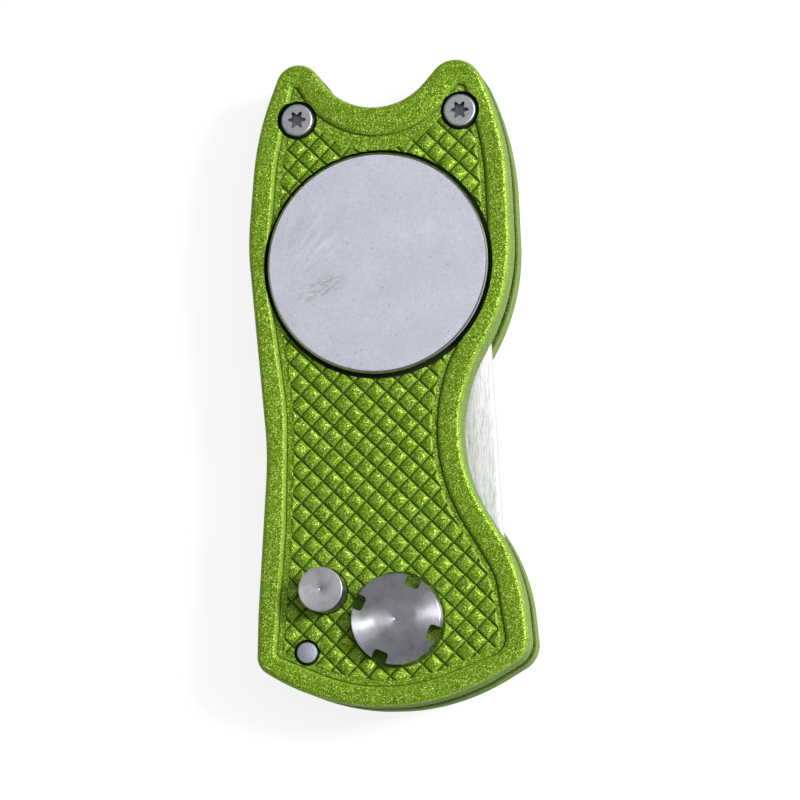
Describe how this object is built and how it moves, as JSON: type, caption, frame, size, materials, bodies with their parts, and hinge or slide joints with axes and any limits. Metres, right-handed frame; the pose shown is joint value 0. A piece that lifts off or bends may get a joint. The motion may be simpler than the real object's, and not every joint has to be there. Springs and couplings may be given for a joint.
{
  "type": "divot repair tool",
  "caption": "Folding golf divot repair tool: knurled metal handle, fork that swings out of a slot, release button and a lift-off ball marker.",
  "frame": {"origin": "middle of the handle's outline, on the plane of the back rim that the tool lies on", "axes": "+Z out of the marker side, +Y along the handle towards the two ears, +X towards the waist side where the folded fork shows"},
  "size_m": [0.0309, 0.0726, 0.0119],
  "materials": {
    "green_paint": "metallic flake gloss",
    "blade_steel": "brushed lengthwise",
    "turned_steel": "turned",
    "button_steel": "turned satin",
    "screw_steel": "satin",
    "spring_steel": "drawn wire",
    "marker_plate": "satin pale blue-grey",
    "nickel": "nickel plate",
    "bronze": "plain",
    "spacer_metal": "dark anodised"
  },
  "bodies": {
    "handle": {"front_scale": "green_paint", "back_scale": "green_paint", "spine_spacer": "spacer_metal", "spine_dowel_upper": "screw_steel", "spine_dowel_lower": "screw_steel", "ear_standoff_left": "screw_steel", "ear_standoff_right": "screw_steel", "ear_screw_left": "screw_steel", "ear_screw_right": "screw_steel", "pivot_cap": "turned_steel", "pivot_screw": "screw_steel", "pivot_washer_front": "bronze", "pivot_washer_back": "bronze", "drive_spring": "spring_steel", "button_spring": "spring_steel", "stop_pin": "screw_steel", "marker_magnet": "nickel"},
    "fork": {"fork_blade": "blade_steel"},
    "button": {"release_button": "button_steel"},
    "marker": {"ball_marker": "marker_plate"}
  },
  "joints": [
    {"name": "fork_swing", "type": "hinge", "parent": "handle", "child": "fork", "pos_m": [0.0009, -0.02665, 0.0044], "axis": [0, 0, -1], "range_deg": [0, 180], "deforming": ["drive_spring"]},
    {"name": "button_press", "type": "slide", "parent": "handle", "child": "button", "axis": [0, 0, -1], "range_m": [0, 0.00175], "stiffness_N_per_m": 600, "springref_m": -0.003, "deforming": ["button_spring"]},
    {"name": "marker_lift", "type": "slide", "parent": "handle", "child": "marker", "axis": [0, 0, 1], "range_m": [0, 0.012]}
  ]
}
